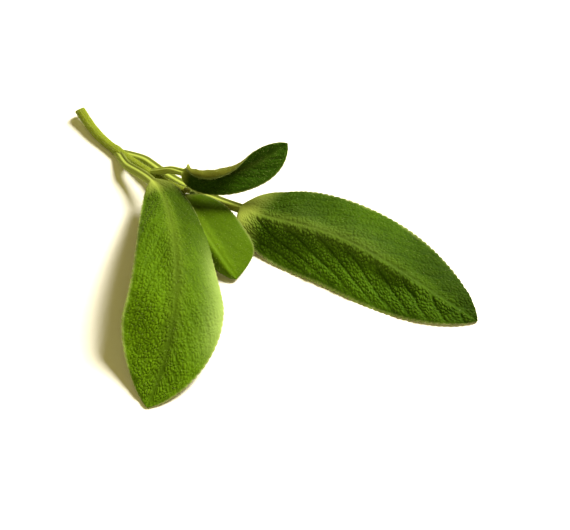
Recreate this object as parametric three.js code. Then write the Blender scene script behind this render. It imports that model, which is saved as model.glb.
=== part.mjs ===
// A cut sprig of common sage (Salvia officinalis), lying on a flat surface.
//
// Lengths are millimetres and angles are degrees. +Z is up and the surface is z = 0.
// The origin is on the surface, under the middle of the sprig. The cut end of the stem is at
// the -X side, one large leaf reaches toward -Y and the other toward +X.
//
// The stem and every leaf grow along a midline, given as headings and slopes at even steps:
// a heading is anticlockwise from +X seen from above, and a slope is above level. A leaf's
// left side is the left hand side of someone who walks from its foot to its tip.

import * as THREE from "three";
import { LoftGeometry } from "three/addons/geometries/LoftGeometry.js";

// ---------------------------------------------------------------- driving dimensions

const clearance = 0.3; // between a petiole's foot and the stem

const cutThickness = 2.3; // stem across flats at the cut
const tipThickness = 1.3; // stem below the bud
const cutSlant = 25; // how far the cut leans from square
const cutToFirstPair = 15.9;
const firstToSecondPair = 11.5;
const secondPairToBud = 13.2;

const largePetioleThickness = 1.8;
const smallPetioleThickness = 1.4;
const largeBladeThickness = 0.8;
const smallBladeThickness = 0.7;

const leftPetioleLength = 18.9;
const leftBladeLength = 65.5;
const rightPetioleLength = 38.7;
const rightBladeLength = 61;
const upperPetioleLength = 12.1;
const upperBladeLength = 28;
const middlePetioleLength = 13.6;
const middleBladeLength = 26.5;

const outerBudLeafLength = 5;
const innerBudLeafLength = 2.8;
const budLeafThickness = 0.5;
const budStalkLength = 0.8;

const stem = {
  headings: [-59, -56, -47, -44, -46, -45, -40, -34],
  slopes: [-7, -7, -3, 3, 8, 8, 9, 9],
};

// Each leaf's node is a distance along the stem, and around says on which side of the stem
// its foot sits: 0 is the stem's left, 90 its top, 180 its right and 270 its underside.
// An outline says where a half is widest, as a share of the blade, and how full it is from
// there to the base and to the tip; a higher fullness is a rounder end.
// Folds bend a half at the midrib and curls bend it from there to its margin. Both are at
// even steps from the blade's base to its tip, and positive ones lift the margin.
const leaves = {
  leaf_left: {
    node: cutToFirstPair,
    around: 165,
    petiole: leftPetioleLength,
    blade: leftBladeLength,
    petioleThickness: largePetioleThickness,
    thickness: largeBladeThickness,
    leftHalf: 12,
    rightHalf: 11.2,
    leftOutline: { widest: 0.62, baseFullness: 1.3, tipFullness: 1.7 },
    rightOutline: { widest: 0.7, baseFullness: 1, tipFullness: 2 },
    headings: [-48, -47, -65, -77, -80, -86, -97, -108, -115],
    slopes: [9, 16, 21, 19, 11, -10, -27, -29, -19],
    rolls: [0],
    leftFolds: [0, -10, -15, -10, -5],
    leftCurls: [-20, -45, -48, -30, 0],
    rightFolds: [0],
    rightCurls: [0, -10, -10, 0, 0],
    rests: true,
    rows: 36,
  },
  leaf_right: {
    node: cutToFirstPair,
    around: 0,
    petiole: rightPetioleLength,
    blade: rightBladeLength,
    petioleThickness: largePetioleThickness,
    thickness: largeBladeThickness,
    leftHalf: 12.5,
    rightHalf: 11.7,
    leftOutline: { widest: 0.42, baseFullness: 3.2, tipFullness: 2.1 },
    rightOutline: { widest: 0.45, baseFullness: 2.8, tipFullness: 1.8 },
    headings: [-42, -44, -39, -37, -29, -22, -29, -32, -31, -32],
    slopes: [1, 1, 7, 13, 10, 3, -5, -12, -15, -15],
    rolls: [0],
    leftFolds: [-5],
    leftCurls: [-5],
    rightFolds: [-55, -55, -50, -40, -15],
    rightCurls: [20, 20, 20, 20, 10],
    rests: true,
    rows: 36,
  },
  leaf_upper: {
    node: cutToFirstPair + firstToSecondPair,
    around: 50,
    petiole: upperPetioleLength,
    blade: upperBladeLength,
    petioleThickness: smallPetioleThickness,
    thickness: smallBladeThickness,
    leftHalf: 5.2,
    rightHalf: 5.2,
    leftOutline: { widest: 0.45, baseFullness: 1.5, tipFullness: 1.5 },
    rightOutline: { widest: 0.6, baseFullness: 2.2, tipFullness: 2.6 },
    headings: [-39, -41, -37, -19, 5, 20, 30],
    slopes: [21, 25, 22, 21, 19, 22, 22],
    rolls: [0, 10, 30, 30, 30, 30],
    leftFolds: [60, 60, 60, 45, 30],
    leftCurls: [130, 140, 100, 40, 10],
    rightFolds: [0],
    rightCurls: [0],
    rests: false,
    rows: 26,
  },
  leaf_middle: {
    node: cutToFirstPair + firstToSecondPair,
    around: 200,
    petiole: middlePetioleLength,
    blade: middleBladeLength,
    petioleThickness: smallPetioleThickness,
    thickness: smallBladeThickness,
    leftHalf: 8.3,
    rightHalf: 5.5,
    leftOutline: { widest: 0.66, baseFullness: 2.6, tipFullness: 8 },
    rightOutline: { widest: 0.6, baseFullness: 2.2, tipFullness: 3 },
    headings: [-47, -42, -52, -64, -61, -52, -45],
    slopes: [11, 10, 15, 11, -5, -25, -37],
    rolls: [0],
    leftFolds: [0],
    leftCurls: [0],
    rightFolds: [-10],
    rightCurls: [-120],
    rests: false,
    rows: 26,
  },
};

// The tiny leaves of the bud, in two crossed pairs round the end of the stem: the outer pair
// spreads from it and the inner pair closes over it.
const budLeaves = [
  { name: "outer_bud_leaf_left", around: 45, length: outerBudLeafLength, spread: 22 },
  { name: "outer_bud_leaf_right", around: 245, length: outerBudLeafLength, spread: 22 },
  { name: "inner_bud_leaf_left", around: 312, length: innerBudLeafLength, spread: 10 },
  { name: "inner_bud_leaf_right", around: 110, length: innerBudLeafLength, spread: 10 },
];

// ---------------------------------------------------------------- the shape of a section

const stemSides = 16; // points round the stem
const stemRows = 39; // steps along it
const squareness = 3; // the stem's superellipse power: 2 is round, and higher is squarer
const nodeSwelling = 0.1; // how much thicker the stem is at a pair of leaves
const nodeSpread = 1.5; // over what distance that swelling fades
const openingShare = 0.12; // share of a blade in which the round petiole opens flat
const ribTaper = 0.8; // how much of the petiole's thickness the midrib loses by the tip
const bladeTaper = 0.4; // how much of its thickness the blade loses by the tip
const keelShare = 0.3; // share of a half over which the midrib's keel fades
const marginWidth = 0.3; // least width of a half, where the blade begins and ends
const foldWidth = 1.2; // a fold is spread over this width beside the midrib
const halfShares = [0, 0.1, 0.3, 0.5, 0.7, 0.87, 1]; // points of a half, midrib to margin

// ---------------------------------------------------------------- curves and frames

const radians = THREE.MathUtils.degToRad;
const smooth = (x) => THREE.MathUtils.smoothstep(x, 0, 1);

// A smooth value at t, from 0 to 1, through values given at even steps (Catmull-Rom).
function evenly(values, t) {
  if (values.length === 1) return values[0];
  const last = values.length - 1;
  const i = Math.min(Math.floor(t * last), last - 1);
  const f = t * last - i;
  const b = values[i];
  const c = values[i + 1];
  const a = i > 0 ? values[i - 1] : 2 * b - c;
  const d = i + 2 <= last ? values[i + 2] : 2 * c - b;
  const cubic = 3 * (b - c) + d - a;
  const square = 2 * a - 5 * b + 4 * c - d;
  return b + 0.5 * f * (c - a + f * (square + f * cubic));
}

// The frame at share t of a midline: its direction, its left and its upper side.
function frameAt({ headings, slopes, rolls = [0] }, t, tilt = 0) {
  const heading = radians(evenly(headings, t));
  const slope = radians(evenly(slopes, t) + tilt);
  const along = new THREE.Vector3(
    Math.cos(slope) * Math.cos(heading),
    Math.cos(slope) * Math.sin(heading),
    Math.sin(slope),
  );
  const left = new THREE.Vector3(-Math.sin(heading), Math.cos(heading), 0);
  left.applyAxisAngle(along, radians(evenly(rolls, t)));
  return { along, left, up: along.clone().cross(left) };
}

// Frames at even steps along a midline of the given length, each with its point.
function midline(shape, start, length, rows, tilt = 0) {
  const fine = 4; // small steps inside each row, so that the length comes out true
  const step = length / (rows * fine);
  const point = start.clone();
  const frames = [{ ...frameAt(shape, 0, tilt), point: point.clone(), share: 0 }];
  for (let i = 1; i <= rows * fine; i++) {
    point.addScaledVector(frameAt(shape, (i - 0.5) / (rows * fine), tilt).along, step);
    if (i % fine === 0) {
      const share = i / (rows * fine);
      frames.push({ ...frameAt(shape, share, tilt), point: point.clone(), share });
    }
  }
  return frames;
}

// ---------------------------------------------------------------- the stem

const stemLength = cutToFirstPair + firstToSecondPair + secondPairToBud;

// Half the stem's thickness at a distance from the cut: an even taper, a slight swelling at
// each pair of leaves, and a round end under the bud.
function stemRadius(distance) {
  const taper = THREE.MathUtils.lerp(cutThickness, tipThickness, distance / stemLength) / 2;
  const swellingAt = (node) => nodeSwelling * Math.exp(-(((distance - node) / nodeSpread) ** 2));
  const swelling = swellingAt(cutToFirstPair) + swellingAt(cutToFirstPair + firstToSecondPair);
  const toEnd = Math.min(1, (stemLength - distance) / tipThickness);
  const bluntest = 0.04; // keeps the last section open, as a small flat
  const roundEnd = Math.sqrt(Math.max(bluntest, 1 - (1 - toEnd) ** 2));
  return taper * (1 + swelling) * roundEnd;
}

// A section of the stem: a square with well rounded corners, as in all the mint family.
function stemSection({ point, along, left, up, share }) {
  const radius = stemRadius(share * stemLength);
  const lean = share === 0 ? Math.tan(radians(cutSlant)) : 0;
  return Array.from({ length: stemSides }, (_, i) => {
    const angle = (i / stemSides) * 2 * Math.PI;
    const power = Math.abs(Math.cos(angle)) ** squareness + Math.abs(Math.sin(angle)) ** squareness;
    const reach = radius / power ** (1 / squareness);
    const lift = reach * Math.sin(angle);
    const corner = point.clone();
    corner.addScaledVector(left, reach * Math.cos(angle));
    corner.addScaledVector(up, lift);
    return corner.addScaledVector(along, lean * lift);
  });
}

const stemFrames = midline(stem, new THREE.Vector3(), stemLength, stemRows);

// Where the foot of a petiole sits: clear of the stem, on the side that around names.
function footPoint({ node, around, petioleThickness }) {
  const { point, left, up } = stemFrames[Math.round((node / stemLength) * stemRows)];
  const widestReach = stemRadius(node) * (1 + nodeSwelling);
  const away = widestReach + clearance + petioleThickness / 2;
  const foot = point.clone();
  foot.addScaledVector(left, away * Math.cos(radians(around)));
  return foot.addScaledVector(up, away * Math.sin(radians(around)));
}

// ---------------------------------------------------------------- the leaves

// A half's width, as a share of its greatest, at x from the blade's base to its tip.
function outline({ widest, baseFullness, tipFullness }, x) {
  if (x < widest) return Math.sqrt(1 - (1 - x / widest) ** baseFullness);
  return (1 - ((x - widest) / (1 - widest)) ** tipFullness) ** 0.8;
}

// A half's bent section: how far out, how high and at what angle it is at each of its points.
function bentHalf(width, fold, curl) {
  const fine = 20; // small steps between neighbouring points
  const creased = Math.min(foldWidth, width);
  const angleAt = (share) =>
    radians(fold) * smooth((share * width) / creased) + radians(curl) * share;
  const points = [];
  let out = 0;
  let lift = 0;
  let share = 0;
  for (const next of halfShares) {
    const step = (next - share) / fine;
    for (let i = 0; i < fine; i++) {
      const angle = angleAt(share + (i + 0.5) * step);
      out += Math.cos(angle) * step * width;
      lift += Math.sin(angle) * step * width;
    }
    share = next;
    points.push({ share, out, lift, angle: angleAt(share) });
  }
  return points;
}

// A closed section of a leaf: a round petiole that opens into a thin blade with a keel. Its
// points run from the left margin over the upper face, and back along the underside.
function leafSection(leaf, { point, left, up, share }) {
  const length = leaf.petiole + leaf.blade;
  const nearTip = 0.995; // the last section stays just open
  const x = THREE.MathUtils.clamp((share * length - leaf.petiole) / leaf.blade, 0, nearTip);
  const opening = smooth(x / openingShare);
  const stalk = (leaf.petioleThickness / 2) * (1 - ribTaper * x);
  const half = (leaf.thickness / 2) * (1 - bladeTaper * x);
  const least = THREE.MathUtils.lerp(stalk, marginWidth, opening);
  const edgePower = THREE.MathUtils.lerp(2, 6, opening); // 2 is a round stalk, 6 a blunt edge
  const top = [];
  const bottom = [];
  const addHalf = (sign, greatest, shape, folds, curls) => {
    const width = Math.max(least, greatest * outline(shape, x));
    const bent = bentHalf(width, evenly(folds, x) * opening, evenly(curls, x) * opening);
    for (const { share: toMargin, out, lift, angle } of bent) {
      const above = THREE.MathUtils.lerp(stalk, half, opening) * Math.sqrt(1 - toMargin ** edgePower);
      const keel = Math.max(0, (stalk - half) * opening * (1 - toMargin / keelShare));
      const offset = (depth) => {
        const place = point.clone();
        place.addScaledVector(left, sign * (out - Math.sin(angle) * depth));
        return place.addScaledVector(up, lift + Math.cos(angle) * depth);
      };
      top.push({ side: sign * toMargin, place: offset(above) });
      if (toMargin < 1) bottom.push({ side: sign * toMargin, place: offset(-above - keel) });
    }
  };
  addHalf(1, leaf.leftHalf, leaf.leftOutline, leaf.leftFolds, leaf.leftCurls);
  addHalf(-1, leaf.rightHalf, leaf.rightOutline, leaf.rightFolds, leaf.rightCurls);
  const once = (list) => list.filter((p, i) => list.findIndex((q) => q.side === p.side) === i);
  const over = once(top).sort((a, b) => b.side - a.side);
  const under = once(bottom).sort((a, b) => a.side - b.side);
  return [...over, ...under].map((p) => p.place);
}

function leafSections(leaf, tilt) {
  const frames = midline(leaf, footPoint(leaf), leaf.petiole + leaf.blade, leaf.rows, tilt);
  return frames.map((frame) => leafSection(leaf, frame));
}

// A bud leaf in the same terms as the large ones. Its upper side faces the stem's axis, and
// it leaves the stem along the stem's own direction, spread outwards.
function budLeaf({ around, length, spread }) {
  const heading = stem.headings.at(-1);
  const slope = stem.slopes.at(-1);
  const turn = (share) => heading + spread * share * Math.cos(radians(around));
  const rise = (share) => slope + spread * share * Math.sin(radians(around));
  return {
    node: stemLength - tipThickness,
    around,
    petiole: budStalkLength,
    blade: length - budStalkLength,
    petioleThickness: budLeafThickness * 1.4,
    thickness: budLeafThickness,
    leftHalf: 0.24 * length,
    rightHalf: 0.24 * length,
    leftOutline: { widest: 0.5, baseFullness: 2, tipFullness: 2 },
    rightOutline: { widest: 0.5, baseFullness: 2, tipFullness: 2 },
    headings: [turn(0.8), turn(1), turn(0.4)],
    slopes: [rise(0.8), rise(1), rise(0.4)],
    rolls: [around + 90],
    leftFolds: [0],
    leftCurls: [50],
    rightFolds: [0],
    rightCurls: [50],
    rows: 10,
  };
}

// ---------------------------------------------------------------- lying on the surface

// The underside of the stem, beside the large leaves' feet, is what touches the surface.
const floor = Math.min(...stemFrames.flatMap(stemSection).map((p) => p.z));

// The tilt at which a leaf's blade just touches the surface, found by halving a range.
function restingTilt(leaf) {
  const firstBladeRow = Math.ceil((leaf.petiole / (leaf.petiole + leaf.blade)) * leaf.rows);
  const lowest = (tilt) => {
    const blade = leafSections(leaf, tilt).slice(firstBladeRow);
    return Math.min(...blade.flat().map((p) => p.z));
  };
  let low = -20;
  let high = 20;
  for (let i = 0; i < 16; i++) {
    const middle = (low + high) / 2;
    if (lowest(middle) < floor) low = middle;
    else high = middle;
  }
  return high;
}

// ---------------------------------------------------------------- the assembly

const sprig = new THREE.Group();

function addSolid(name, color, sections) {
  const geometry = new LoftGeometry(sections, { capStart: true, capEnd: true });
  const material = new THREE.MeshStandardMaterial({ color, roughness: 0.75, metalness: 0 });
  const mesh = new THREE.Mesh(geometry, material);
  mesh.name = name;
  sprig.add(mesh);
}

const leafColors = {
  leaf_left: "#658a1c",
  leaf_right: "#496d0c",
  leaf_upper: "#44600f",
  leaf_middle: "#77980f",
};

addSolid("stem", "#8f983f", stemFrames.map(stemSection));
for (const bud of budLeaves) addSolid(bud.name, "#a3b45c", leafSections(budLeaf(bud), 0));
for (const [name, leaf] of Object.entries(leaves)) {
  addSolid(name, leafColors[name], leafSections(leaf, leaf.rests ? restingTilt(leaf) : 0));
}

// Stand the sprig on z = 0 with the origin under the middle of its box.
const box = new THREE.Box3().setFromObject(sprig);
const middle = box.getCenter(new THREE.Vector3());
sprig.position.set(-middle.x, -middle.y, -box.min.z);

export default sprig;
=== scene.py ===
"""A cut sprig of common sage, lying on a pale surface.

The tables hold millimetres and degrees, and meshes are made in metres in the row's frame.
A heading is anticlockwise from +X seen from above, and a slope is above level. A leaf's left
side is the left hand side of someone who walks from its foot to its tip.
"""

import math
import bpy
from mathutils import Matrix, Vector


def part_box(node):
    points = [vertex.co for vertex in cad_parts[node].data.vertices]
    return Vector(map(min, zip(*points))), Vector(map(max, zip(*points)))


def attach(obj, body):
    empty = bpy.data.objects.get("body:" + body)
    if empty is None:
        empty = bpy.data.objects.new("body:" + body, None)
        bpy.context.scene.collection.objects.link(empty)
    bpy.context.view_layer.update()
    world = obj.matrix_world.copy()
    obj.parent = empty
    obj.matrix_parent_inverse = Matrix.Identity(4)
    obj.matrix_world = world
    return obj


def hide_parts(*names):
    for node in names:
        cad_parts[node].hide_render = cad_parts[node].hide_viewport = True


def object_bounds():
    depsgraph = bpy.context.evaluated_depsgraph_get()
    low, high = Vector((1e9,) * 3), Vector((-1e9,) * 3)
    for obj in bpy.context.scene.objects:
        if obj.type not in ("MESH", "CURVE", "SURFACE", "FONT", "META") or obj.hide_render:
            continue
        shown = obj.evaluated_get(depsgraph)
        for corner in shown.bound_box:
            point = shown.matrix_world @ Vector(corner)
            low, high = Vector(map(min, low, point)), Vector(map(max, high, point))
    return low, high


bl_info = {
    "name": "Cut sage sprig",
    "version": (1, 0, 0),
    "blender": (4, 5, 0),
    "location": "View3D > Sidebar > Sage",
    "description": "Builds a cut sprig of common sage, leaf by leaf, and the table it lies on",
    "category": "Add Mesh",
}

import bpy
import numpy as np
from mathutils import Euler, Vector

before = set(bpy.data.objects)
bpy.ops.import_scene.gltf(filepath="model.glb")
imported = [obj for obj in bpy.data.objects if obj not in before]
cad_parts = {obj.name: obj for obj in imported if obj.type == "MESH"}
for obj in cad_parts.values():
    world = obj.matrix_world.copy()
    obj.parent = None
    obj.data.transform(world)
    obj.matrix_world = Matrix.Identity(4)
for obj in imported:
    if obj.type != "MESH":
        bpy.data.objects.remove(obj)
CAD_LOW, CAD_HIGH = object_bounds()

MM = 0.001
UP = np.array([0.0, 0.0, 1.0])

# ------------------------------------------------------------------ the sprig's own sizes

CUT_TO_FIRST_PAIR = 15.9
FIRST_TO_SECOND_PAIR = 11.5
SECOND_PAIR_TO_BUD = 13.2
STEM_LENGTH = CUT_TO_FIRST_PAIR + FIRST_TO_SECOND_PAIR + SECOND_PAIR_TO_BUD
CUT_THICKNESS = 2.3
TIP_THICKNESS = 1.3
CUT_SLANT = 25.0

STEM = {
    "headings": [-59, -56, -47, -44, -46, -45, -40, -34],
    "slopes": [-7, -7, -3, 3, 8, 8, 9, 9],
}

# An outline is where a half is widest, as a share of the blade, and how full it is from there
# to the base and to the tip. Folds bend a half at the midrib, and curls bend it from there to
# its margin. Veins, for the left half and the right, and pebbles are how strongly those
# stand out. Tilt brings a leaf that rests on the table down to it.
# Tones scale a half's colour along the blade, from its midrib out, as painted light and shade:
# below 1 paints shade where light falls weakly, above 1 paints light where it falls strongly.
LEAVES = {
    "leaf_left": {
        "petiole": 18.9,
        "blade": 65.5,
        "petiole_thickness": 2.3,
        "left_half": 12.0,
        "right_half": 11.2,
        "left_outline": (0.62, 1.3, 1.7),
        "right_outline": (0.7, 1.0, 2.0),
        "headings": [-48, -47, -65, -77, -80, -86, -97, -108, -115],
        "slopes": [9, 16, 21, 19, 11, -10, -27, -29, -19],
        "left_folds": [0, -10, -15, -10, -5],
        "left_curls": [-20, -45, -48, -30, 0],
        "right_folds": [0],
        "right_curls": [0, -10, -10, 0, 0],
        "tilt": -0.6,
        "rests": True,
        "veins": (0.1, 0.2),
        "midrib": 0.15,
        "pebbles": 1.3,
        "teeth": 0.6,
        "left_light_and_shade": [0.43, 0.54, 0.92, 1.25, 1.3],
        "right_light_and_shade": [0.75, 0.9, 1.25, 1.5, 1.4],
        # Pale is a band of painted sheen on the left half: its middle across the half, its spread,
        # where along the blade it starts and ends, and its strength.
        "pale": (1.0, 0.35, 0.3, 0.85, 0.8),
        "vein_spacing": 6.0,
        "seed": 11,
    },
    "leaf_right": {
        "petiole": 38.7,
        "blade": 61.0,
        "petiole_thickness": 2.3,
        "left_half": 12.5,
        "right_half": 11.7,
        "left_outline": (0.42, 3.2, 2.8),
        "right_outline": (0.45, 2.8, 2.2),
        "headings": [-42, -44, -39, -37, -29, -22, -29, -32, -31, -32],
        "slopes": [1, 1, 7, 13, 10, 3, -5, -12, -15, -15],
        "left_folds": [-5],
        "left_curls": [-5],
        "right_folds": [-55, -55, -50, -40, -15],
        "right_curls": [20, 20, 20, 20, 10],
        "tilt": 0.11,
        "rests": True,
        "veins": (0.3, 0.6),
        "midrib": 0.4,
        "pebbles": 1.6,
        "teeth": 1.0,
        "left_light_and_shade": [0.52, 0.72, 0.95, 0.66, 0.5],
        "right_light_and_shade": [1.0, 1.2, 1.4, 1.2, 0.75],
        "pale": (0.2, 0.25, 0.1, 0.7, 0.05),
        "vein_spacing": 7.5,
        "seed": 23,
    },
    "leaf_upper": {
        "petiole": 12.1,
        "blade": 28.0,
        "petiole_thickness": 1.8,
        "left_half": 5.2,
        "right_half": 5.2,
        "left_outline": (0.45, 1.5, 2.2),
        "right_outline": (0.6, 2.2, 2.6),
        "headings": [-39, -41, -37, -19, 5, 20, 30],
        "slopes": [21, 25, 22, 21, 19, 22, 22],
        "rolls": [0, 10, 30, 30, 30, 30],
        "left_folds": [35, 55, 60, 45, 30],
        "left_curls": [70, 130, 100, 40, 10],
        "right_folds": [0],
        "right_curls": [0],
        "rests": False,
        "veins": (0.3, 0.15),
        "midrib": 0.3,
        "pebbles": 0.8,
        "teeth": 0.25,
        "left_light_and_shade": [1.0],
        "right_light_and_shade": [1.1],
        "vein_spacing": 4.0,
        "seed": 37,
    },
    "leaf_middle": {
        "petiole": 13.6,
        "blade": 27.3,
        "petiole_thickness": 1.8,
        "left_half": 8.3,
        "right_half": 5.5,
        "left_outline": (0.66, 2.6, 5.0),
        "right_outline": (0.6, 2.2, 3.0),
        "headings": [-47, -42, -52, -64, -61, -52, -45],
        "slopes": [11, 10, 15, 11, -5, -25, -37],
        "left_folds": [0],
        "left_curls": [0],
        "right_folds": [-10],
        "right_curls": [-120],
        "rests": False,
        "veins": (0.03, 0.03),
        "midrib": 0.4,
        "pebbles": 0.3,
        "teeth": 0.15,
        "left_light_and_shade": [0.4, 0.5, 0.65, 0.65],
        "right_light_and_shade": [0.7],
        "vein_spacing": 4.5,
        "seed": 41,
    },
}

# The tiny leaves of the bud: around is the side of the stem each stands on, where 0 is its
# left, 90 its top and 180 its right.
BUD_LEAVES = {
    "outer_bud_leaf_left": {"around": 45, "length": 5.0, "spread": 22},
    "outer_bud_leaf_right": {"around": 245, "length": 5.0, "spread": 22},
    "inner_bud_leaf_left": {"around": 312, "length": 2.8, "spread": 10},
    "inner_bud_leaf_right": {"around": 110, "length": 2.8, "spread": 10},
}

# ------------------------------------------------------------------ settings and colours


def linear(hex_colour):
    """An sRGB hex value as linear red, green and blue."""
    channels = [int(hex_colour[i : i + 2], 16) / 255 for i in (1, 3, 5)]
    return [c / 12.92 if c <= 0.04045 else ((c + 0.055) / 1.055) ** 2.4 for c in channels]


def length_setting(name, description, default_mm):
    """A length that a user may change, shown in the scene's units."""
    return bpy.props.FloatProperty(
        name=name,
        description=description,
        default=default_mm * MM,
        min=0.0,
        unit="LENGTH",
        subtype="DISTANCE",
        precision=5,
    )


def colour_setting(name, description, hex_colour):
    """A colour that a user may change, kept linear."""
    return bpy.props.FloatVectorProperty(
        name=name,
        description=description,
        default=linear(hex_colour),
        min=0.0,
        max=1.0,
        size=3,
        subtype="COLOR",
    )


class SageSizes(bpy.types.PropertyGroup):
    """Sizes of the sprig's surface that a user may change."""

    blade_thickness: length_setting(
        "Blade thickness", "Thickness of a large leaf's blade beside its midrib", 0.55
    )
    vein_depth: length_setting(
        "Vein depth", "How deep a side vein is sunk in a full-grown leaf's upper face", 0.4
    )
    pebble_height: length_setting(
        "Pebble height", "How high the pebbles between the veins stand", 0.2
    )
    tooth_pitch: length_setting("Tooth pitch", "From one margin tooth to the next", 1.35)
    tooth_depth: length_setting("Tooth depth", "How far a margin tooth stands out", 0.34)
    hair_length: length_setting("Hair length", "Mean length of the hairs of the down", 0.55)
    hair_width: length_setting("Hair width", "Thickness of a hair at its root", 0.045)


class SageColours(bpy.types.PropertyGroup):
    """Colours of the sprig that a user may change."""

    # Each furrow colour is painted shade: the darker colour of the sunken veins and of the grooves
    # between the pebbles, where shade falls.
    left_crown: colour_setting("Left leaf", "Upper face of leaf_left", "#4a6606")
    left_furrow_shade: colour_setting("Left leaf, veins", "Sunken veins of leaf_left", "#2e4703")
    right_crown: colour_setting("Right leaf", "Upper face of leaf_right", "#3b5605")
    right_furrow_shade: colour_setting("Right leaf, veins", "Sunken veins of leaf_right", "#1a3303")
    upper_crown: colour_setting("Upper leaf", "Upper face of leaf_upper", "#2b4506")
    upper_furrow_shade: colour_setting("Upper leaf, veins", "Sunken veins of leaf_upper", "#1c3403")
    middle_crown: colour_setting("Middle leaf", "Upper face of leaf_middle", "#587708")
    middle_furrow_shade: colour_setting("Middle leaf, veins", "Sunken veins of leaf_middle", "#456203")
    underside: colour_setting("Underside", "Pale underside of every leaf", "#5a5e1c")
    stalk: colour_setting("Stalk", "Petioles and the midribs they run into", "#98a546")
    stem: colour_setting("Stem", "Green stem", "#6b7716")
    # The down's green tint is painted light from the leaf below it.
    down: colour_setting("Down", "Hairs that cover leaf and stem", "#a9b66a")


# ------------------------------------------------------------------ curves and surfaces


def smooth(x):
    """The S-curve 3x^2 - 2x^3, held at 0 below 0 and at 1 above 1."""
    x = np.clip(x, 0.0, 1.0)
    return x * x * (3 - 2 * x)


def between(a, b, share):
    """The value a share of the way from a to b."""
    return a + (b - a) * share


def evenly(values, share):
    """Values given at even steps from 0 to 1, read at any share by Catmull-Rom cubics."""
    values = np.asarray(values, float)
    if len(values) == 1:
        return np.full(np.shape(share), values[0])
    before = 2 * values[0] - values[1]
    after = 2 * values[-1] - values[-2]
    padded = np.concatenate([[before], values, [after]])
    place = np.asarray(share) * (len(values) - 1)
    i = np.clip(np.floor(place).astype(int), 0, len(values) - 2)
    f = place - i
    a, b, c, d = padded[i], padded[i + 1], padded[i + 2], padded[i + 3]
    square = 2 * a - 5 * b + 4 * c - d
    cubic = 3 * (b - c) + d - a
    return b + 0.5 * f * (c - a + f * (square + f * cubic))


def frames_at(shape, share, tilt=0.0):
    """Direction, left side and upper side at each share of a midline. The direction has the
    heading and slope there, and the other two are turned about it by the roll."""
    heading = np.radians(evenly(shape["headings"], share))
    slope = np.radians(evenly(shape["slopes"], share) + tilt)
    roll = np.radians(evenly(shape.get("rolls", [0]), share))[:, None]
    along = np.stack(
        [np.cos(slope) * np.cos(heading), np.cos(slope) * np.sin(heading), np.sin(slope)], axis=1
    )
    level = np.stack([-np.sin(heading), np.cos(heading), np.zeros_like(heading)], axis=1)
    left = np.cos(roll) * level + np.sin(roll) * np.cross(along, level)
    return along, left, np.cross(along, left)


def midline(shape, length, distances, tilt=0.0):
    """Points at distances along a midline that starts at zero: the running sum of its
    directions times a small step. Also gives the frames there."""
    steps = 4000
    directions = frames_at(shape, (np.arange(steps) + 0.5) / steps, tilt)[0]
    walked = np.vstack([np.zeros(3), np.cumsum(directions, axis=0)]) * (length / steps)
    marks = np.linspace(0.0, length, steps + 1)
    points = np.stack([np.interp(distances, marks, walked[:, k]) for k in range(3)], axis=1)
    return points, frames_at(shape, distances / length, tilt)


def pebbles(p, q, seed):
    """Distances from each point to the nearest and to the second nearest of points that are
    scattered one to a unit square."""
    side = 128
    scatter = np.random.default_rng(seed).random((side, side, 2))
    column, row = np.floor(p), np.floor(q)
    nearest = np.full(p.shape, 9.0)
    second = np.full(p.shape, 9.0)
    for step in np.ndindex(3, 3):
        i, j = column + step[0] - 1, row + step[1] - 1
        offset = scatter[i.astype(int) % side, j.astype(int) % side]
        distance = np.hypot(i + offset[..., 0] - p, j + offset[..., 1] - q)
        second = np.minimum(second, np.maximum(nearest, distance))
        nearest = np.minimum(nearest, distance)
    return nearest, second


def waves(p, q, seed, count=5):
    """A smooth random field of about -1 to 1: the mean of a few sine waves of unequal
    directions, about one unit long."""
    rng = np.random.default_rng(seed)
    angle = rng.uniform(0, 2 * np.pi, count)
    pace = rng.uniform(0.6, 1.4, count) * 2 * np.pi
    phase = rng.uniform(0, 2 * np.pi, count)
    field = np.zeros(np.shape(p))
    for a, w, h in zip(angle, pace, phase):
        field = field + np.sin(w * (p * np.cos(a) + q * np.sin(a)) + h)
    return field * (2 / count) ** 0.5 / 1.4


def tube_faces(rows, ring):
    """Faces of a closed tube of rows, each a ring of points, with a pole point at each end:
    first the squares between rows, then the fans to the two poles that follow the grid."""
    i, j = np.meshgrid(np.arange(rows - 1), np.arange(ring), indexing="ij")
    k = (j + 1) % ring
    quads = np.stack([i * ring + j, i * ring + k, (i + 1) * ring + k, (i + 1) * ring + j], -1)
    j = np.arange(ring)
    k = (j + 1) % ring
    last = (rows - 1) * ring
    start = np.stack([k, j, np.full(ring, rows * ring)], axis=1)
    end = np.stack([last + j, last + k, np.full(ring, rows * ring + 1)], axis=1)
    return quads.reshape(-1, 4).tolist() + start.tolist() + end.tolist()


def tube_points(grid, start, end):
    """The points of such a tube in a row, with its two poles last."""
    return np.concatenate([grid.reshape(-1, 3), start[None], end[None]])


def new_piece(name, points, faces, fields, material, node=None):
    """Makes a smooth mesh of points in millimetres, with its fields as point attributes, and
    enters it in the frame."""
    mesh = bpy.data.meshes.new(name)
    mesh.from_pydata((points * MM).tolist(), [], faces)
    for field, values in fields.items():
        layer = mesh.attributes.new(field, "FLOAT", "POINT")
        layer.data.foreach_set("value", np.asarray(values, np.float32))
    mesh.polygons.foreach_set("use_smooth", np.ones(len(mesh.polygons), bool))
    mesh.validate()
    mesh.materials.append(material)
    piece = bpy.data.objects.new(name, mesh)
    bpy.context.scene.collection.objects.link(piece)
    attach(piece, "root")
    if node:
        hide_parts(node)
    return piece


def centre_of(node):
    """The middle of a node's box, in millimetres."""
    low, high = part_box(node)
    return np.array((low + high) / 2) / MM


# ------------------------------------------------------------------ the stem

STEM_ROWS = 300
STEM_RING = 64


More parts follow.
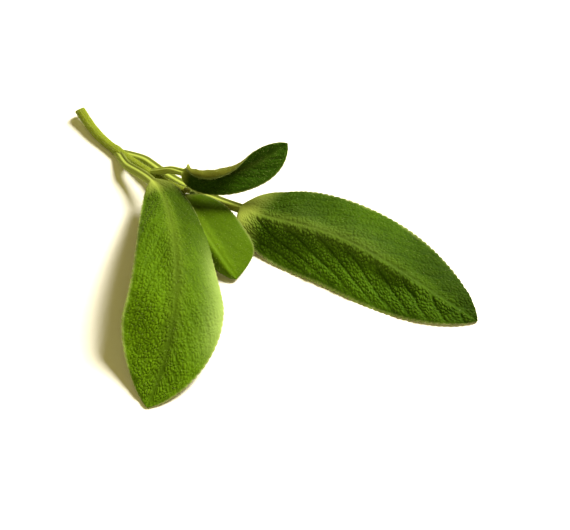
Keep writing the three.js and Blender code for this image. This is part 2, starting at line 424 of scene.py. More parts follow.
def stem_radius(distance):
    """Half the stem's thickness: an even taper, times a swelling at each pair of leaves that
    fades as a bell curve, times a round end."""
    taper = between(CUT_THICKNESS, TIP_THICKNESS, distance / STEM_LENGTH) / 2
    swelling = 0.0
    for node in (CUT_TO_FIRST_PAIR, CUT_TO_FIRST_PAIR + FIRST_TO_SECOND_PAIR):
        swelling = swelling + 0.16 * np.exp(-(((distance - node - 0.4) / 1.3) ** 2))
    to_end = np.clip((STEM_LENGTH - distance) / TIP_THICKNESS, 0, 1)
    return taper * (1 + swelling) * np.sqrt(np.maximum(0.02, 1 - (1 - to_end) ** 2))


def stem_midline(distances):
    """Points and frames of the stem's midline, in the row's frame: the curve from zero, moved
    so that the middle of its box is the middle of the CAD stem's."""
    points, frames = midline(STEM, STEM_LENGTH, distances)
    marks = np.linspace(0, STEM_LENGTH, 200)
    path, (along, left, up) = midline(STEM, STEM_LENGTH, marks)
    reach = stem_radius(marks)[:, None]
    low = (path - reach * (1 - along**2) ** 0.5).min(axis=0)
    high = (path + reach * (1 - along**2) ** 0.5).max(axis=0)
    return points + centre_of("stem") - (low + high) / 2, frames


def stem_surface():
    """The stem: each section is a superellipse of power 3, a square with round corners, whose
    radius is rippled by fine strands along it. The first rows shrink to the cut's middle."""
    cut_shrink = np.array([0.0001, 0.25, 0.5, 0.7, 0.84, 0.93, 0.98])
    cut_rows = len(cut_shrink)
    body = np.linspace(0.0, STEM_LENGTH, STEM_ROWS)
    distance = np.concatenate([np.zeros(cut_rows), body])
    shrink = np.concatenate([cut_shrink, np.ones(STEM_ROWS)])[:, None]
    points, (along, left, up) = stem_midline(distance)
    angle = np.linspace(0, 2 * np.pi, STEM_RING, endpoint=False)[None]
    power = np.abs(np.cos(angle)) ** 3 + np.abs(np.sin(angle)) ** 3
    strands = 0.022 * np.cos(13 * angle) + 0.016 * np.cos(21 * angle + 0.7)
    drift = 0.03 * waves(distance[:, None] / 5, angle / 1.7, seed=5)
    ripple = 1 + strands * np.minimum(1, distance[:, None] / 0.6) + drift
    reach = stem_radius(distance)[:, None] / power ** (1 / 3) * ripple * shrink
    out, lift = reach * np.cos(angle), reach * np.sin(angle)
    lean = math.tan(math.radians(CUT_SLANT)) * (1 - smooth(distance / 1.5))[:, None]
    bulge = -0.12 * (1 - shrink**2)
    grid = (
        points[:, None]
        + out[..., None] * left[:, None]
        + lift[..., None] * up[:, None]
        + (lean * lift + bulge)[..., None] * along[:, None]
    )
    cut = np.repeat(np.concatenate([np.ones(cut_rows), np.zeros(STEM_ROWS)]), STEM_RING)
    heart = np.repeat(1 - shrink[:, 0], STEM_RING)
    # The strands' field carries painted light: a highlight on the strands, shade between them.
    strand = np.broadcast_to(0.5 + 13 * strands, reach.shape).reshape(-1)
    fields = {"cut": cut, "heart": heart, "relief_shading": strand}
    fields = {key: np.append(value, [1.0, 0.0]) for key, value in fields.items()}
    fields["cut"][-1] = 0.0
    return grid, tube_points(grid, grid[0].mean(axis=0), grid[-1].mean(axis=0)), fields


# ------------------------------------------------------------------ the leaves

FOLD_WIDTH = 1.2  # a fold is spread over this much of a half, beside the midrib
OPENING_SHARE = 0.12  # share of a blade in which the round petiole opens flat
VEIN_RUN = 1.0  # how far toward the tip a side vein runs for each step outward
VEIN_SWEEP = 0.12  # how much more it turns toward the tip, per millimetre outward
PEBBLE_LENGTH = 0.85  # of a pebble, along the veins
PEBBLE_WIDTH = 0.58  # and across them
FOOT_LENGTH = 3.5  # over which a petiole is a little thinner at its foot
FOOT_NARROWING = 0.25  # share of its thickness that it loses there
PETIOLE_MERGE = 9.0  # how far up a petiole is drawn in to the stem
BUD_MERGE = 1.2  # and how far up a bud leaf is
MERGE_PULL = 0.9  # share of the way to the stem's middle that the foot is drawn


def outline(shape, x):
    """A half's width as a share of its greatest: a rounded rise from the base to the widest
    place, sqrt(1 - (1 - r)^b), then a fall to the tip that steepens all the way,
    (1 - f^t)^0.8, where b and t are its fullnesses."""
    widest, base_fullness, tip_fullness = shape
    rise = np.clip(x / widest, 0, 1)
    fall = np.clip((x - widest) / (1 - widest), 0, 1)
    base = np.sqrt(1 - (1 - rise) ** base_fullness)
    return np.where(x < widest, base, (1 - fall**tip_fullness) ** 0.8)


def bent_half(width, fold, curl, shares):
    """How far out, how high and at what angle each point of a half is: running sums of the
    cosine and sine of its angle, which is the fold, reached smoothly beside the midrib, plus
    the curl in step with the share of the half."""

    def angle_at(share):
        creased = np.minimum(FOLD_WIDTH, width)[:, None]
        turned = smooth(share[None] * width[:, None] / creased)
        return np.radians(fold)[:, None] * turned + np.radians(curl)[:, None] * share[None]

    middle = (shares[1:] + shares[:-1]) / 2
    step = np.diff(shares)[None] * width[:, None]
    zero = np.zeros((len(width), 1))
    out = np.hstack([zero, np.cumsum(np.cos(angle_at(middle)) * step, axis=1)])
    lift = np.hstack([zero, np.cumsum(np.sin(angle_at(middle)) * step, axis=1)])
    return out, lift, angle_at(shares)


def blade_relief(leaf, along, out, share, side, sizes):
    """Height of the upper face, in millimetres, and its veins and pebbles as shares of 1.

    Side veins leave the midrib at even steps and run outward on curves a = a0 + r b + s b^2,
    where a is the distance along the midrib and b the distance from it. Each is sunk as a bell
    curve, with a finer one half way between, and the blade is raised like a quilt between
    them. Pebbles are the cells round scattered points, longer along the veins than across."""
    spacing, seed = leaf["vein_spacing"], leaf["seed"] + (100 if side > 0 else 0)
    wander = 0.5 * waves(along / 9, out / 9, seed + 1)
    lane = (along - VEIN_RUN * out - VEIN_SWEEP * out**2 + wander) / spacing + 0.5 * side
    stretch = np.sqrt(1 + (VEIN_RUN + 2 * VEIN_SWEEP * out) ** 2)
    to_vein = np.abs(lane - np.round(lane)) * spacing / stretch
    to_half = np.abs(lane + 0.5 - np.round(lane + 0.5)) * spacing / stretch
    vein = np.exp(-((to_vein / 0.32) ** 2)) * (1 - 0.6 * share)
    half_vein = 0.15 * np.exp(-((to_half / 0.22) ** 2)) * (1 - 0.3 * share) * smooth(out / 2.5)
    midrib = np.exp(-((out / 0.5) ** 2)) * (1 - 0.5 * share)
    quilt = smooth(to_vein / (0.28 * spacing))
    wobble = 0.35 * waves(along / 3, out / 3, seed + 2)
    nearest, second = pebbles(
        (along - out) / 2**0.5 / PEBBLE_WIDTH + wobble + 40,
        (along + out) / 2**0.5 / PEBBLE_LENGTH + wobble,
        seed,
    )
    dome = np.clip(1 - (nearest / 0.8) ** 2, 0, 1)
    pebble = smooth((second - nearest) / 0.35) * (0.4 + 0.6 * dome)
    pebble = pebble * (1 - 0.7 * vein) * (1 - 0.8 * midrib)
    depth, height = sizes.vein_depth / MM, sizes.pebble_height / MM
    swell = 0.3 * waves(along / 15, out / 15, seed + 3) * smooth(out / 4)
    strength = leaf["veins"][0 if side > 0 else 1] * smooth(share / 0.25)
    veins = 0.75 * quilt * (1 - share**4) - np.maximum(vein, half_vein)
    raised = (
        depth * strength * veins
        - leaf["midrib"] * depth * midrib
        + height * leaf["pebbles"] * pebble * (1 - 0.5 * share**6)
        + swell * leaf["pebbles"]
    )
    return raised, np.minimum(1, np.maximum(vein * strength, leaf["midrib"] * midrib)), pebble


def painted_sheen_band(leaf, x, share, side):
    """Where a painted sheen lies on a leaf's left half: a pale band that stands in for light
    caught aslant by the down, a bell curve across the half times an S-curve up and one down
    along the blade."""
    if "pale" not in leaf or side < 0:
        return 0 * x * share
    middle, spread, start, end, strength = leaf["pale"]
    along = strength * smooth((x - start) / 0.2) * smooth((end - x) / 0.2)
    return along * np.exp(-(((share - middle) / spread) ** 2))


def leaf_surface(leaf, sizes, rows, across):
    """A leaf from the foot of its petiole to its tip, as a tube of sections round a midline
    that starts at zero. Each section is a ring over the upper face from the left margin to
    the right, and back along the underside. The petiole is round with a channel on top, and
    opens into the blade. Returns the grid, its fields, and the frames and distances."""
    length = leaf["petiole"] + leaf["blade"]
    stalk_rows = rows // 5
    distance = np.concatenate(
        [
            np.linspace(0, leaf["petiole"], stalk_rows, endpoint=False),
            leaf["petiole"] + leaf["blade"] * np.linspace(0, 1, rows - stalk_rows),
        ]
    )
    points, (along, left, up) = midline(leaf, length, distance, leaf.get("tilt", 0.0))
    x = np.clip((distance - leaf["petiole"]) / leaf["blade"], 0, 1)
    opening = smooth(x / OPENING_SHARE)
    foot = 1 - smooth(distance / FOOT_LENGTH)
    stalk = leaf["petiole_thickness"] / 2 * (1 - 0.8 * x) * (1 - FOOT_NARROWING * foot)
    thickness = leaf.get("thickness", sizes.blade_thickness / MM)
    half_thickness = thickness / 2 * (1 - 0.3 * x)
    least = between(stalk, 0.12, opening)
    shares = np.linspace(0, 1, across + 1)
    fields = {}
    for side, name in ((1, "left"), (-1, "right")):
        width = np.maximum(least, leaf[name + "_half"] * outline(leaf[name + "_outline"], x))
        fold = evenly(leaf[name + "_folds"], x) * opening
        curl = evenly(leaf[name + "_curls"], x) * opening
        out, lift, angle = bent_half(width, fold, curl, shares)
        share = np.broadcast_to(shares[None], out.shape)
        spread = share * width[:, None]
        blade_distance = np.broadcast_to((x * leaf["blade"])[:, None], out.shape)
        height, vein, pebble = blade_relief(leaf, blade_distance, spread, share, side, sizes)
        edge = between(2.0, 4.0, opening)[:, None]
        rounded = np.sqrt(1 - share**edge)
        above = between(stalk, half_thickness, opening)[:, None] * rounded
        keel = ((stalk - half_thickness) * opening)[:, None] * (1 - smooth(spread / 1.6))
        below = above + np.maximum(0, keel) * np.exp(-((spread / 0.7) ** 2))
        channel = 0.35 * (stalk * (1 - opening))[:, None] * np.exp(-((share / 0.35) ** 2))
        walked = np.cumsum(np.hypot(np.diff(width, prepend=width[0]), np.diff(distance, prepend=0)))
        pitch, depth = sizes.tooth_pitch / MM, sizes.tooth_depth / MM
        tooth = np.abs(np.cos(np.pi * walked / pitch)) ** 0.7 - 0.6
        tooth = tooth * depth * leaf["teeth"] * smooth(x / 0.2) * smooth((1 - x) / 0.03)
        stand = tooth[:, None] * smooth((share - 0.86) / 0.14)
        frill = 0.18 * np.sin(2 * np.pi * walked / (3.1 * pitch))[:, None] * share**8
        lifted = (height + frill * leaf["pebbles"]) * opening[:, None] * (1 - share**12)

        def face(depth_from_middle):
            outward = side * (out + np.cos(angle) * stand - np.sin(angle) * depth_from_middle)
            upward = lift + np.sin(angle) * stand + np.cos(angle) * depth_from_middle
            return (
                points[:, None]
                + outward[..., None] * left[:, None]
                + upward[..., None] * up[:, None]
            )

        under_height = -below + lifted * 0.8
        parts = {
            "top": face(above + lifted - channel),
            "under": face(under_height),
            # Painted shade in the grooves between the pebbles, lighter on their crowns.
            "relief_shading": pebble,
            "vein": vein * opening[:, None],
            "margin": smooth((share - 0.93) / 0.07) * opening[:, None],
            "share": share,
            # Painted light and shade: the colour is scaled by the half's tones, from no change at
            # the midrib to the full tone a third of the way out.
            "light_and_shade": between(1.0, evenly(leaf[name + "_light_and_shade"], x)[:, None], smooth(share / 0.3)),
            # A band of painted sheen on the left half.
            "pale": painted_sheen_band(leaf, x[:, None], share, side),
        }
        fields[name] = parts
    every_fourth = slice(4, across, 4)
    ring = {}
    for key in ("top", "relief_shading", "vein", "margin", "share", "light_and_shade", "pale"):
        l, r = fields["left"][key], fields["right"][key]
        over = np.concatenate([l[:, ::-1], r[:, 1:]], axis=1)
        source = "under" if key == "top" else key
        lu, ru = fields["left"][source], fields["right"][source]
        middle = (lu[:, :1] + ru[:, :1]) / 2
        under = np.concatenate([ru[:, every_fourth][:, ::-1], middle, lu[:, every_fourth]], axis=1)
        ring[key] = np.concatenate([over, under], axis=1)
    grid = ring.pop("top")
    over_count = 2 * across + 1
    ring["under"] = np.zeros(grid.shape[:2])
    ring["under"][:, over_count:] = 1.0
    # The underside gets no painted light and shade.
    ring["light_and_shade"][:, over_count:] = 1.0
    ring["stalk"] = np.broadcast_to((1 - opening)[:, None], grid.shape[:2])
    ring["rib"] = np.exp(-((ring["share"] * 6) ** 2)) * (1 - x)[:, None]
    return grid, ring, (along, left, up), distance, over_count


def placed(grid, node, resting):
    """Moves a leaf so that its box has the same middle as its node's, and where it rests on
    the table the same lowest point."""
    flat = grid.reshape(-1, 3)
    low, high = flat.min(axis=0), flat.max(axis=0)
    move = centre_of(node) - (low + high) / 2
    if resting:
        move[2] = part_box(node)[0].z / MM - low[2]
    return grid + move


def gathered(grid, distance, stem_point, reach):
    """Draws the foot of a petiole in to the stem it grew from, so that the two join: the pull
    is strongest at the foot, MERGE_PULL, and fades smoothly to none at reach."""
    pull = (1 - smooth(distance / reach))[:, None, None]
    return grid + MERGE_PULL * pull * (stem_point - grid[0].mean(axis=0))


def down_piece(name, roots, directions, lengths, sizes, material):
    """Down, as a piece of its own. A hair is a spike with three corners round its root and
    one at its tip, sunk a little into the skin."""
    directions = directions / np.linalg.norm(directions, axis=1, keepdims=True)
    helper = np.where(np.abs(directions[:, 2:]) < 0.9, UP, np.array([1.0, 0.0, 0.0]))
    one = np.cross(helper, directions)
    one /= np.linalg.norm(one, axis=1, keepdims=True)
    two = np.cross(directions, one)
    turn = np.radians([0, 120, 240])[None, :, None]
    half = sizes.hair_width / MM / 2
    corners = roots[:, None] + half * (np.cos(turn) * one[:, None] + np.sin(turn) * two[:, None])
    corners = corners - 0.03 * directions[:, None]
    tips = roots + directions * lengths[:, None]
    points = np.concatenate([corners, tips[:, None]], axis=1).reshape(-1, 3)
    faces = np.array([[0, 1, 3], [1, 2, 3], [2, 0, 3], [0, 2, 1]])
    faces = (np.arange(len(roots))[:, None, None] * 4 + faces[None]).reshape(-1, 3)
    return new_piece(name, points, faces.tolist(), {}, material)


def normals_of(grid):
    """Outward directions on a grid: the cross product of its two sets of differences."""
    across = np.gradient(grid, axis=1)
    along = np.gradient(grid, axis=0)
    normal = np.cross(across, along)
    return normal / np.maximum(1e-9, np.linalg.norm(normal, axis=2, keepdims=True))


def leaf_down(name, grid, frames, over_count, counts, leaf, sizes, material):
    """Short hairs that lie toward the tip on the upper face and the petiole, and a fringe
    that stands out from both margins."""
    rng = np.random.default_rng(leaf["seed"] + 900)
    along, left, up = frames
    normal = normals_of(grid)
    area = np.linalg.norm(
        np.cross(np.gradient(grid, axis=1), np.gradient(grid, axis=0)), axis=2
    ).reshape(-1)
    faces_count, fringe_count = counts
    pick = rng.choice(len(area), faces_count, p=area / area.sum())
    row, column = np.divmod(pick, grid.shape[1])
    lean = rng.normal(0, 0.35, (faces_count, 3))
    roots = grid[row, column] + lean * 0.1
    directions = 0.55 * normal[row, column] + 0.8 * along[row] + lean
    blade_rows = np.arange(len(grid) // 5, len(grid) - 1)
    row = rng.choice(blade_rows, fringe_count)
    side = rng.choice([0, over_count - 1], fringe_count)
    inner = np.where(side == 0, 2, over_count - 3)
    outward = grid[row, side] - grid[row, inner]
    outward /= np.maximum(1e-9, np.linalg.norm(outward, axis=1, keepdims=True))
    fringe = outward + 0.35 * along[row] + rng.normal(0, 0.3, (fringe_count, 3))
    roots = np.concatenate([roots, grid[row, side]])
    directions = np.concatenate([directions, fringe])
    mean = np.concatenate([np.full(faces_count, 0.45), np.full(fringe_count, 0.6)])
    lengths = mean * sizes.hair_length / MM * rng.uniform(0.6, 1.35, len(roots))
    return down_piece(name, roots, directions, lengths, sizes, material)


# ------------------------------------------------------------------ materials


def add_node(tree, kind, inputs=None, **settings):
    """Adds a node, sets its own settings, and fills its inputs with values or links."""
    node = tree.nodes.new(kind)
    for key, value in settings.items():
        setattr(node, key, value)
    for key, value in (inputs or {}).items():
        if isinstance(value, bpy.types.NodeSocket):
            tree.links.new(value, node.inputs[key])
        else:
            node.inputs[key].default_value = value
    return node


def per_mm(size_mm):
    """The texture scale, on coordinates in metres, whose pattern repeats about every
    size_mm millimetres."""
    return 1 / (size_mm * MM)


def rgba(colour):
    return (*colour, 1.0)


def shade(colour, factor):
    """A colour made lighter or darker by a factor."""
    return tuple(min(1.0, channel * factor) for channel in colour)


def living_skin(name, base, layers, roughness, bump_mm, sheen, sheen_tint, light_and_shade=None):
    """A plant's skin. Layers are laid one over another on the base colour: each is either the
    name of a point attribute or the size in millimetres of a noise, with how strong it is and
    the colour it brings. The last argument names an attribute that the result is multiplied
    by, which paints light and shade into the colour. A fine noise roughens the gloss and the
    surface."""
    material = bpy.data.materials.new(name)
    material.use_nodes = True
    tree = material.node_tree
    tree.nodes.clear()
    place = add_node(tree, "ShaderNodeTexCoord").outputs["Object"]
    colour = rgba(base)
    for source, strength, layer_colour in layers:
        if isinstance(source, str):
            amount = add_node(tree, "ShaderNodeAttribute", attribute_name=source).outputs["Fac"]
        else:
            noise = add_node(
                tree,
                "ShaderNodeTexNoise",
                {"Vector": place, "Scale": per_mm(source), "Detail": 3.0, "Roughness": 0.6},
            )
            amount = add_node(
                tree,
                "ShaderNodeMapRange",
                {"Value": noise.outputs["Fac"], "From Min": 0.38, "From Max": 0.68},
                interpolation_type="SMOOTHSTEP",
            ).outputs["Result"]
        factor = add_node(tree, "ShaderNodeMath", {0: amount, 1: strength}, operation="MULTIPLY")
        colour = add_node(
            tree,
            "ShaderNodeMix",
            {0: factor.outputs[0], 6: colour, 7: rgba(layer_colour)},
            data_type="RGBA",
        ).outputs[2]
    # Painted light and shade: the colour is multiplied by this attribute.
    if light_and_shade:
        amount = add_node(tree, "ShaderNodeAttribute", attribute_name=light_and_shade).outputs["Fac"]
        colour = add_node(
            tree, "ShaderNodeVectorMath", {0: colour, 3: amount}, operation="SCALE"
        ).outputs[0]
    grain = add_node(
        tree, "ShaderNodeTexNoise", {"Vector": place, "Scale": per_mm(0.22), "Detail": 4.0}
    ).outputs["Fac"]
    rough = add_node(
        tree,
        "ShaderNodeMapRange",
        {"Value": grain, "From Min": 0.3, "From Max": 0.7, "To Min": roughness - 0.12,
         "To Max": roughness + 0.12},
    )
    bump = add_node(
        tree, "ShaderNodeBump", {"Height": grain, "Strength": 0.6, "Distance": bump_mm * MM}
    )
    shader = add_node(
        tree,
        "ShaderNodeBsdfPrincipled",
        {
            "Base Color": colour,
            "Roughness": rough.outputs["Result"],
            "Normal": bump.outputs["Normal"],
            "IOR": 1.45,
            "Specular IOR Level": 0.03,
            "Sheen Weight": sheen,
            "Sheen Roughness": 0.5,
            "Sheen Tint": rgba(sheen_tint),
        },
    )
    add_node(tree, "ShaderNodeOutputMaterial", {"Surface": shader.outputs["BSDF"]})
    return material


def sage_leaf_skin(name, crown, furrow_shade, colours, sheen):
    """Living sage leaf: a soft pebbled skin under short white down. The veins are sunk, and
    they and the grooves between the pebbles carry painted shade, darker than the pebbles'
    crowns. The down dulls the gloss and pales the face where it is seen aslant, and the
    underside is paler, with the veins standing out."""
    layers = [
        # Painted shade: the grooves between the pebbles keep the darker base, their crowns are
        # lighter.
        ("relief_shading", 0.8, crown),
        (7.0, 0.3, shade(crown, 1.25)),
        (1.6, 0.2, shade(furrow_shade, 0.9)),
        # Painted shade in the sunken veins.
        ("vein", 0.3, shade(furrow_shade, 0.8)),
        # A band of painted sheen, pale where light catches the down aslant.
        ("pale", 0.75, linear("#93a95c")),
        ("rib", 0.15, colours.stalk),
        ("under", 1.0, colours.underside),
        ("margin", 0.35, colours.down),
        ("stalk", 0.85, colours.stalk),
    ]
    # The base leans to the furrow colour, the painted shade between the pebbles.
    return living_skin(name, between_colours(crown, furrow_shade, 0.6), layers, 0.62, 0.05, sheen,
                       colours.down, "light_and_shade")


def between_colours(a, b, share):
    return tuple(between(p, q, share) for p, q in zip(a, b))


def down_skin(name, colours):
    """Down: hollow white hairs, matt, whose colour holds a little green as painted light from
    the leaf below them.
    """
    return living_skin(name, colours.down, [(1.2, 0.3, shade(colours.down, 0.75))], 0.7, 0.01,
                       0.2, colours.down)


def stem_skin(name, colours):
    """Green sage stem: a thin downy rind over strands of fibre, with a painted highlight on the
    strands and painted shade between them, and a brown dried cut round pale pith."""
    layers = [
        # Painted highlight on the strands, painted shade between them.
        ("relief_shading", 0.4, shade(colours.stem, 1.25)),
        (4.0, 0.4, shade(colours.stem, 0.7)),
        (0.9, 0.25, shade(colours.stem, 1.3)),
        ("cut", 0.75, linear("#8a8448")),
        ("heart", 0.8, linear("#c9cc9a")),
        (0.3, 0.1, colours.down),
    ]
    return living_skin(name, colours.stem, layers, 0.55, 0.05, 0.06, colours.down)


def paper_skin():
    """White matt paper, pressed smooth: no gloss, and a grain too fine to see."""
    material = bpy.data.materials.new("matt_white_paper")
    material.use_nodes = True
    tree = material.node_tree
    shader = tree.nodes["Principled BSDF"]
    place = add_node(tree, "ShaderNodeTexCoord").outputs["Object"]
    fibre = add_node(
        tree, "ShaderNodeTexNoise", {"Vector": place, "Scale": per_mm(1.5), "Detail": 3.0}
    )
    tint = add_node(
        tree,
        "ShaderNodeMix",
        {0: fibre.outputs["Fac"], 6: rgba(linear("#f3f0e8")), 7: rgba(linear("#f7f5ef"))},
        data_type="RGBA",
    )
    tree.links.new(tint.outputs[2], shader.inputs["Base Color"])
    shader.inputs["Roughness"].default_value = 0.9
    shader.inputs["Specular IOR Level"].default_value = 0.1
    return material


# ------------------------------------------------------------------ the stage

VIEW_ELEVATION = 50.0
VIEW_DISTANCE = 360.0
VIEW_LENS = 100.0
TARGET_SHARES = (0.0945, -0.0986)  # of the object's half width and half depth

# Bearing and height in degrees, distance and size in metres, power in watts, and colour.
KEY_LIGHT = (34.0, 49.0, 0.6, 0.24, 10.0, (1.0, 0.95, 0.84))
FILL_LIGHT = (-100.0, 38.0, 0.8, 0.6, 0.9, (1.0, 0.9, 0.4))
ROOM_COLOUR = (1.0, 0.85, 0.2, 1.0)
ROOM_STRENGTH = 0.24


def paper_sheet():
    """The table's paper, in rings round its middle: flat, then rising in an S-curve to a rim."""
    radius = np.concatenate([np.linspace(0.01, 0.5, 12), np.linspace(0.55, 1.3, 24)]) / MM
    angle = np.linspace(0, 2 * np.pi, 96, endpoint=False)
    height = 380 * smooth((radius - 500) / 800)
    grid = np.stack(
        [
            radius[:, None] * np.cos(angle),
            radius[:, None] * np.sin(angle),
            np.broadcast_to(height[:, None], (len(radius), len(angle))),
        ],
        axis=2,
    )
    i, j = np.meshgrid(np.arange(len(radius) - 1), np.arange(96), indexing="ij")
    k = (j + 1) % 96
    quads = np.stack([i * 96 + j, (i + 1) * 96 + j, (i + 1) * 96 + k, i * 96 + k], -1)
    fan = np.stack([np.arange(96), (np.arange(96) + 1) % 96, np.full(96, grid[..., 0].size)], 1)
    mesh = bpy.data.meshes.new("paper")
    points = np.concatenate([grid.reshape(-1, 3), [[0.0, 0.0, 0.0]]]) * MM
    mesh.from_pydata(points.tolist(), [], quads.reshape(-1, 4).tolist() + fan.tolist())
    mesh.polygons.foreach_set("use_smooth", np.ones(len(mesh.polygons), bool))
    mesh.materials.append(paper_skin())
    sheet = bpy.data.objects.new("paper", mesh)
    bpy.context.scene.collection.objects.link(sheet)


def soft_light(name, azimuth, elevation, distance, size, power, colour):
    """A square soft box that faces the object's middle from a bearing and a height."""
    lamp = bpy.data.lights.new(name, "AREA")
    lamp.size = size
    lamp.energy = power
    lamp.color = colour
    box = bpy.data.objects.new(name, lamp)
    bearing, rise = math.radians(azimuth), math.radians(elevation)
    away = Vector(
        (math.cos(rise) * math.cos(bearing), math.cos(rise) * math.sin(bearing), math.sin(rise))
    )
    box.location = away * distance
    box.rotation_euler = away.to_track_quat("Z", "Y").to_euler()
    bpy.context.scene.collection.objects.link(box)


class SAGE_OT_stage(bpy.types.Operator):
    """Sets up the camera, the lights and the paper that the sprig lies on"""

    bl_idname = "sage.stage"
    bl_label = "Stage"

    def execute(self, context):
        middle = (CAD_LOW + CAD_HIGH) / 2
        half = (CAD_HIGH - CAD_LOW) / 2
        target = Vector(
            (middle.x + TARGET_SHARES[0] * half.x, middle.y + TARGET_SHARES[1] * half.y, 0.0)
        )
        lens = bpy.data.cameras.new("camera")
        lens.lens = VIEW_LENS
        lens.sensor_width = 36.0
        lens.clip_start = 0.01
        camera = bpy.data.objects.new("camera", lens)
        rise = math.radians(VIEW_ELEVATION)
        back = Vector((0.0, -math.cos(rise), math.sin(rise)))
        camera.location = target + back * (VIEW_DISTANCE * MM)
        camera.rotation_euler = Euler((math.pi / 2 - rise, 0.0, 0.0))
        context.scene.collection.objects.link(camera)
        context.scene.camera = camera
        context.scene.view_settings.view_transform = "Standard"
        soft_light("key", *KEY_LIGHT)
        soft_light("fill", *FILL_LIGHT)
        world = bpy.data.worlds.new("room")
        world.use_nodes = True
        background = world.node_tree.nodes["Background"]
        background.inputs["Color"].default_value = ROOM_COLOUR
        background.inputs["Strength"].default_value = ROOM_STRENGTH
        context.scene.world = world
        paper_sheet()
        return {"FINISHED"}


# ------------------------------------------------------------------ one operator per piece

# Rows of a leaf's mesh, and columns across each half.
LARGE_MESH = (480, 76)
SMALL_MESH = (220, 48)
BUD_MESH = (70, 16)
# Hairs on a leaf's face, and on its fringe.
LARGE_HAIRS = (3000, 2600)
SMALL_HAIRS = (1500, 600)
BUD_HAIRS = (160, 60)
STEM_HAIRS = 2600
BUD_SEED = 60


class SAGE_OT_stem(bpy.types.Operator):
    """Adds the cut stem with its down"""

    bl_idname = "sage.stem"
    bl_label = "Stem"

    def execute(self, context):
        sizes, colours = context.scene.sage_sizes, context.scene.sage_colours
        grid, points, fields = stem_surface()
        faces = tube_faces(*grid.shape[:2])
        skin = stem_skin("green_sage_stem", colours)
        new_piece("cut_stem", points, faces, fields, skin, "stem")
        rng = np.random.default_rng(7)
        row = rng.integers(8, len(grid) - 1, STEM_HAIRS)
        column = rng.integers(0, grid.shape[1], STEM_HAIRS)
        directions = normals_of(grid)[row, column] + rng.normal(0, 0.45, (STEM_HAIRS, 3))
        lengths = sizes.hair_length / MM * rng.uniform(0.4, 1.0, STEM_HAIRS)
        skin = down_skin("sage_stem_down", colours)
        roots = grid[row, column]
        down_piece("stem_down", roots, directions, lengths, sizes, skin)
        return {"FINISHED"}


def stem_point_at(node_distance):
    """The stem's middle at a pair of leaves."""
    return stem_midline(np.array([float(node_distance)]))[0][0]


def add_leaf(context, name, leaf, skins, mesh_size, hairs, node_distance, reach):
    """Makes one leaf in its node's place, drawn in to the stem at its foot, with its down.
    mesh_size is its rows and its columns across a half, and hairs the number on its face and
    on its fringe."""
    sizes = context.scene.sage_sizes
    skin, down = skins
    grid, fields, frames, distance, over_count = leaf_surface(leaf, sizes, *mesh_size)
    grid = placed(grid, name, leaf["rests"])
    grid = gathered(grid, distance, stem_point_at(node_distance), reach)
    points = tube_points(grid, grid[0].mean(axis=0), grid[-1].mean(axis=0))
    flat = {
        key: np.append(value.reshape(-1), [value[0].mean(), value[-1].mean()])
        for key, value in fields.items()
    }
    new_piece("sage_" + name, points, tube_faces(*grid.shape[:2]), flat, skin, name)
    leaf_down(name + "_down", grid, frames, over_count, hairs, leaf, sizes, down)


def add_full_leaf(context, name, skins, mesh_size, hairs, node_distance):
    """Makes a large or a small leaf from the table, in a material slot of its own name."""
    leaf = LEAVES[name]
    add_leaf(context, name, leaf, skins, mesh_size, hairs, node_distance, PETIOLE_MERGE)


class SAGE_OT_large_leaves(bpy.types.Operator):
    """Adds the two large leaves, each with its petiole and its down"""

    bl_idname = "sage.large_leaves"
    bl_label = "Large leaves"

    def execute(self, context):
        colours = context.scene.sage_colours
        down = down_skin("sage_leaf_down", colours)
        left = sage_leaf_skin(
            "downy_sage_leaf_left", colours.left_crown, colours.left_furrow_shade, colours, 0.06
        )
        right = sage_leaf_skin(
            "downy_sage_leaf_right", colours.right_crown, colours.right_furrow_shade, colours, 0.04
        )
        for name, skin in (("leaf_left", left), ("leaf_right", right)):
            add_full_leaf(
                context, name, (skin, down), LARGE_MESH, LARGE_HAIRS, CUT_TO_FIRST_PAIR
            )
        return {"FINISHED"}


class SAGE_OT_small_leaves(bpy.types.Operator):
    """Adds the two small leaves, each with its petiole and its down"""

    bl_idname = "sage.small_leaves"
    bl_label = "Small leaves"

    def execute(self, context):
        colours = context.scene.sage_colours
        down = down_skin("young_sage_leaf_down", colours)
        upper = sage_leaf_skin(
            "downy_sage_leaf_upper", colours.upper_crown, colours.upper_furrow_shade, colours, 0.03
        )
        middle = sage_leaf_skin(
            "downy_sage_leaf_middle", colours.middle_crown, colours.middle_furrow_shade, colours, 0.04
        )
        second_pair = CUT_TO_FIRST_PAIR + FIRST_TO_SECOND_PAIR
        for name, skin in (("leaf_upper", upper), ("leaf_middle", middle)):
            add_full_leaf(context, name, (skin, down), SMALL_MESH, SMALL_HAIRS, second_pair)
        return {"FINISHED"}


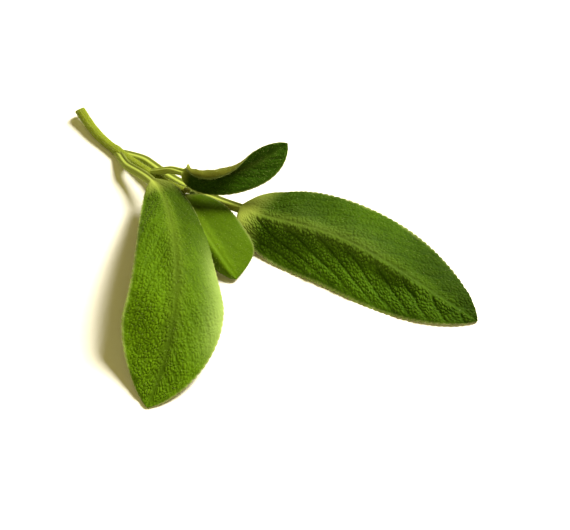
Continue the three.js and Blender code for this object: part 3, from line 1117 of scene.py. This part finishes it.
def bud_leaf(around, length, spread, seed):
    """A bud leaf in the terms of a large one: it leaves along the stem's own direction, leans
    outward by spread at its middle, and its upper side faces the stem's axis."""
    heading, slope = STEM["headings"][-1], STEM["slopes"][-1]
    side, top = math.cos(math.radians(around)), math.sin(math.radians(around))
    return {
        "petiole": 0.8,
        "blade": length - 0.8,
        "petiole_thickness": 0.7,
        "thickness": 0.4,
        "left_half": 0.24 * length,
        "right_half": 0.24 * length,
        "left_outline": (0.5, 2.0, 2.0),
        "right_outline": (0.5, 2.0, 2.0),
        "headings": [heading + spread * side * share for share in (0.8, 1.0, 0.4)],
        "slopes": [slope + spread * top * share for share in (0.8, 1.0, 0.4)],
        "rolls": [around + 90],
        "left_folds": [0],
        "left_curls": [50],
        "right_folds": [0],
        "right_curls": [50],
        "veins": (0.2, 0.2),
        "midrib": 0.5,
        "pebbles": 0.2,
        "teeth": 0.2,
        "left_light_and_shade": [1.0],
        "right_light_and_shade": [1.0],
        "vein_spacing": 1.5,
        "rests": False,
        "seed": seed,
    }


class SAGE_OT_bud(bpy.types.Operator):
    """Adds the tiny downy leaves that close round the growing tip"""

    bl_idname = "sage.bud"
    bl_label = "Bud"

    def execute(self, context):
        colours = context.scene.sage_colours
        crown = between_colours(colours.middle_crown, colours.down, 0.35)
        skin = sage_leaf_skin("downy_sage_bud", crown, shade(crown, 0.7), colours, 0.1)
        down = down_skin("sage_bud_down", colours)
        for i, (name, choice) in enumerate(BUD_LEAVES.items()):
            leaf = bud_leaf(seed=BUD_SEED + i, **choice)
            add_leaf(
                context, name, leaf, (skin, down), BUD_MESH, BUD_HAIRS,
                STEM_LENGTH - TIP_THICKNESS, BUD_MERGE,
            )
        return {"FINISHED"}


class SAGE_PT_sprig(bpy.types.Panel):
    """Lists the sprig's pieces, sizes and colours"""

    bl_idname = "SAGE_PT_sprig"
    bl_label = "Cut sage sprig"
    bl_space_type = "VIEW_3D"
    bl_region_type = "UI"
    bl_category = "Sage"

    def draw(self, context):
        layout = self.layout
        for operator in OPERATORS:
            layout.operator(operator.bl_idname)
        for group in (context.scene.sage_sizes, context.scene.sage_colours):
            column = layout.column()
            for name in group.__annotations__:
                column.prop(group, name)


OPERATORS = (
    SAGE_OT_stage,
    SAGE_OT_stem,
    SAGE_OT_large_leaves,
    SAGE_OT_small_leaves,
    SAGE_OT_bud,
)
CLASSES = (SageSizes, SageColours, *OPERATORS, SAGE_PT_sprig)


def register():
    for cls in CLASSES:
        bpy.utils.register_class(cls)
    bpy.types.Scene.sage_sizes = bpy.props.PointerProperty(type=SageSizes)
    bpy.types.Scene.sage_colours = bpy.props.PointerProperty(type=SageColours)


def unregister():
    del bpy.types.Scene.sage_colours
    del bpy.types.Scene.sage_sizes
    for cls in reversed(CLASSES):
        bpy.utils.unregister_class(cls)


def main():
    register()
    bpy.ops.sage.stage()
    bpy.ops.sage.stem()
    bpy.ops.sage.large_leaves()
    bpy.ops.sage.small_leaves()
    bpy.ops.sage.bud()


if __name__ == "__main__":
    main()
